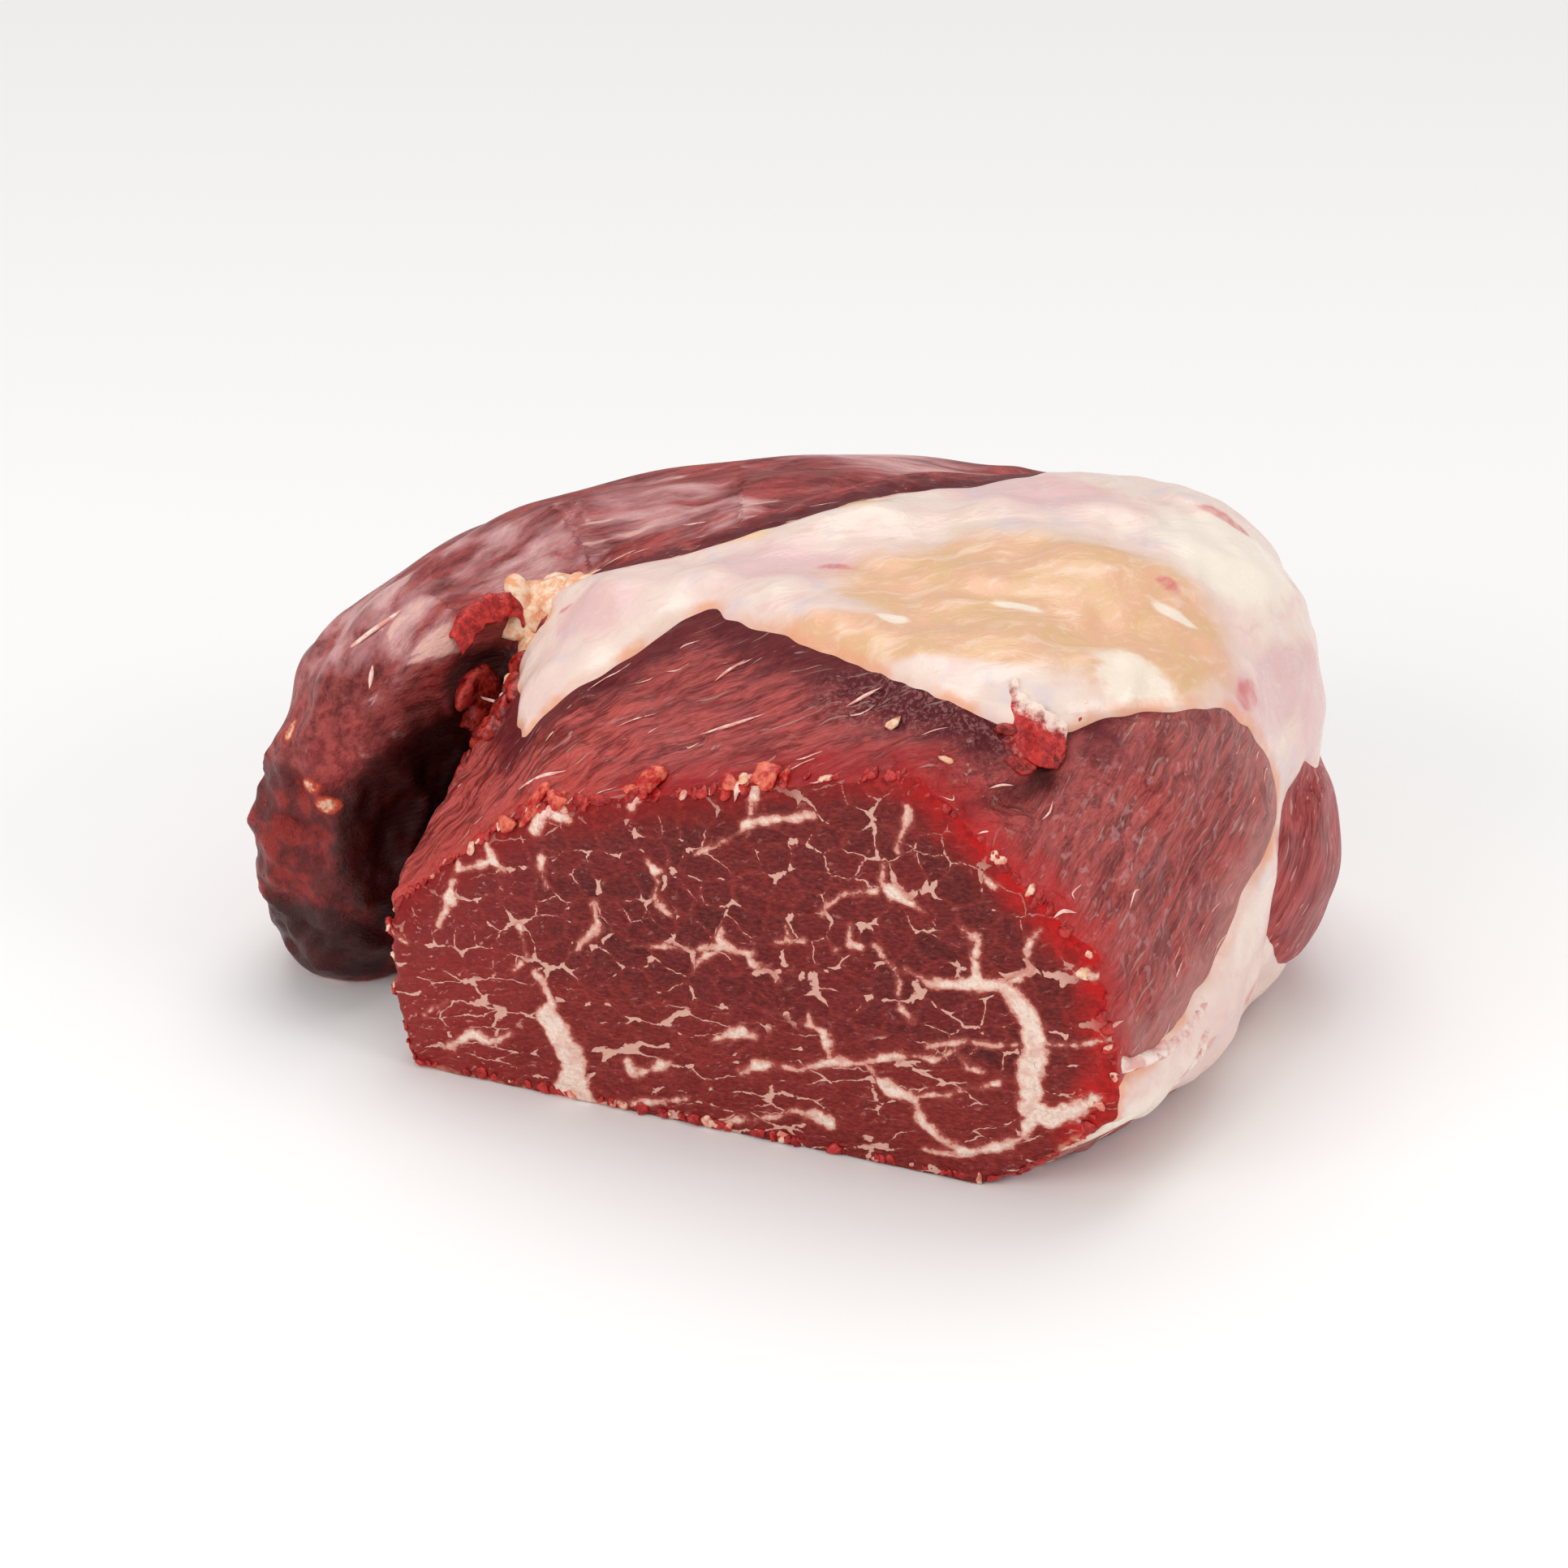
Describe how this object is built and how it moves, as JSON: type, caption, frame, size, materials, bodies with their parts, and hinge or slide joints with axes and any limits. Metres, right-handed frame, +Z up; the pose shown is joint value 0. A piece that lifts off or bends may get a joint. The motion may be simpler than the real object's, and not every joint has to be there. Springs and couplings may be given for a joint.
{
  "type": "raw beef tenderloin roast",
  "caption": "Raw beef tenderloin, a trimmed piece of the thick head end with a marbled cut face, a pale fat cap and a side muscle wrapped round its back.",
  "frame": {"origin": "on the table, under the middle of the piece", "axes": "+Z up; the marbled cut face looks along -Y; +X runs along the long side, to the right for someone who faces the cut"},
  "size_m": [0.1666, 0.1234, 0.0753],
  "materials": {
    "meat": "moist satin raw beef, dark red with pale marbling",
    "fat": "waxy satin fat and silverskin, cream with pink and straw patches"
  },
  "bodies": {
    "root": {"tenderloin": "meat"}
  },
  "joints": []
}
